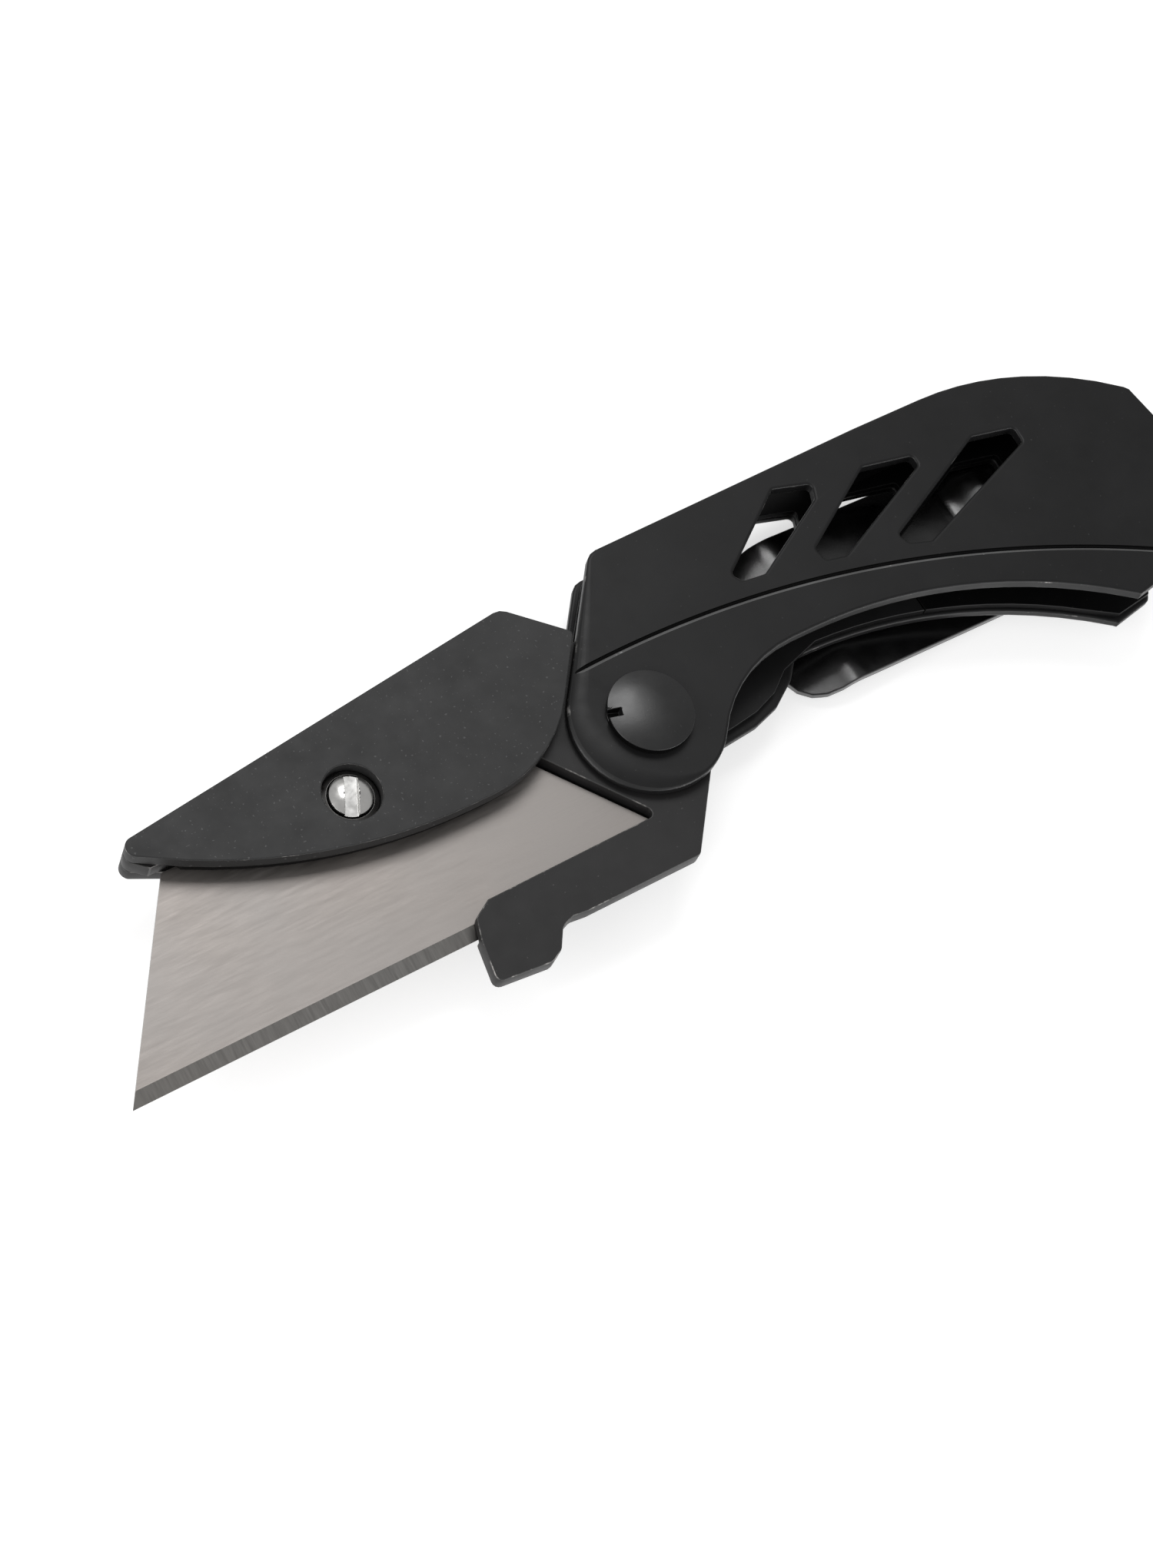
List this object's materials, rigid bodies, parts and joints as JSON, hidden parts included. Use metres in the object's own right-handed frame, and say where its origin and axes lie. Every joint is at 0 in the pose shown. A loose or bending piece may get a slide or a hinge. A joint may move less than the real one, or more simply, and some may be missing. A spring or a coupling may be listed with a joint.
{
  "type": "folding utility knife",
  "caption": "Folding utility knife, open: black coated steel handle with slots, round pivot, blade carrier with fin, hook and trapezoid blade, and a wide clip on the back.",
  "frame": {"origin": "under the middle of the open knife's bounding box, on the plane that the clip's flared end touches", "axes": "+X along the straight spine from the blade's point to the butt, +Y from the cutting edge towards the spine, +Z from the clip side to the front scale"},
  "size_m": [0.1347, 0.0359, 0.0121],
  "materials": {
    "black_coating": "satin black oxide or e-coat on steel, fine speckle, bare edges lightly worn",
    "blade_steel": "satin ground carbon steel, finer ground bevel along the edge",
    "bright_steel": "bright zinc or nickel plated turned steel",
    "brass": "plain rolled brass washers, hidden"
  },
  "bodies": {
    "handle": {"front_scale": "black_coating", "rear_scale": "black_coating", "lock_liner": "black_coating", "back_spacer": "black_coating", "pivot_screw": "black_coating", "pivot_barrel": "black_coating", "front_washer": "brass", "rear_washer": "brass", "stop_pin": "bright_steel", "clip_screw_1": "black_coating", "clip_screw_2": "black_coating", "spacer_screw_1": "black_coating", "spacer_screw_2": "black_coating", "spacer_screw_3": "black_coating", "clip_base": "black_coating"},
    "carrier": {"carrier_body": "black_coating", "front_cover": "black_coating", "clamp_plate": "black_coating", "rear_plate": "black_coating", "carrier_rivet_1": "black_coating", "carrier_rivet_2": "black_coating", "carrier_rivet_3": "black_coating", "blade": "blade_steel", "blade_nut": "bright_steel", "screw_ring": "bright_steel"},
    "blade_screw": {"blade_screw": "bright_steel"},
    "lock_leaf": {"lock_leaf": "black_coating", "detent_ball": "bright_steel"},
    "clip_arm": {"clip_arm": "black_coating"}
  },
  "joints": [
    {"name": "fold", "type": "hinge", "parent": "handle", "child": "carrier", "pos_m": [-0.00375, -0.00065, 0.0075], "axis": [0, 0, 1], "range_deg": [0, 180]},
    {"name": "lock_leaf_spring", "type": "hinge", "parent": "handle", "child": "lock_leaf", "pos_m": [0.0326, -0.00065, 0.0049], "axis": [0, 1, 0], "range_deg": [0, 1.6], "stiffness_Nm_per_rad": 5},
    {"name": "blade_screw_turn", "type": "hinge", "parent": "carrier", "child": "blade_screw", "pos_m": [-0.03435, 0.00495, 0.009], "axis": [0, 0, 1], "continuous": true},
    {"name": "clip_flex", "type": "hinge", "parent": "handle", "child": "clip_arm", "pos_m": [0.05025, -0.00065, 0.0026], "axis": [0, -1, 0], "range_deg": [0, 3], "stiffness_Nm_per_rad": 5}
  ]
}
